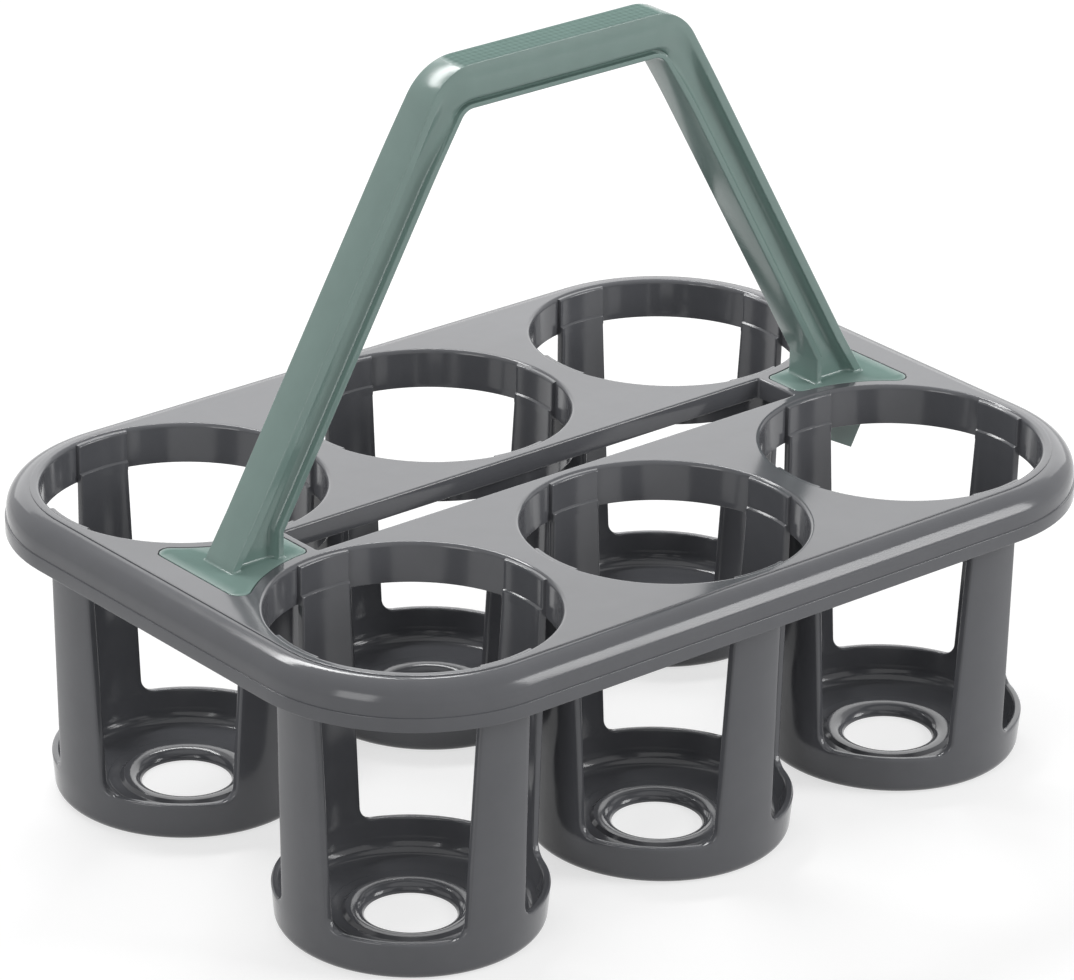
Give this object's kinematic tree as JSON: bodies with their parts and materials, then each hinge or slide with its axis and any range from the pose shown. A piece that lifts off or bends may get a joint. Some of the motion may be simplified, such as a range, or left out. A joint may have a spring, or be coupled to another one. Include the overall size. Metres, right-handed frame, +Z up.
{
  "type": "six pack bottle carrier",
  "caption": "Open moulded bottle carrier: a deck with ringed pockets, windowed cups below it and a rigid bow handle clipped in across the middle.",
  "frame": {"origin": "on the floor under the middle of the basket", "axes": "+X along the carrier and its handle, +Y to the back row of pockets, +Z up"},
  "size_m": [0.336, 0.245, 0.268],
  "materials": {
    "basket": "satin anthracite polypropylene, injection moulded",
    "handle": "satin sage green polypropylene, injection moulded"
  },
  "bodies": {
    "root": {"deck": "basket", "cup_front_left": "basket", "cup_front_middle": "basket", "cup_front_right": "basket", "cup_back_left": "basket", "cup_back_middle": "basket", "cup_back_right": "basket", "handle": "handle"}
  },
  "joints": []
}
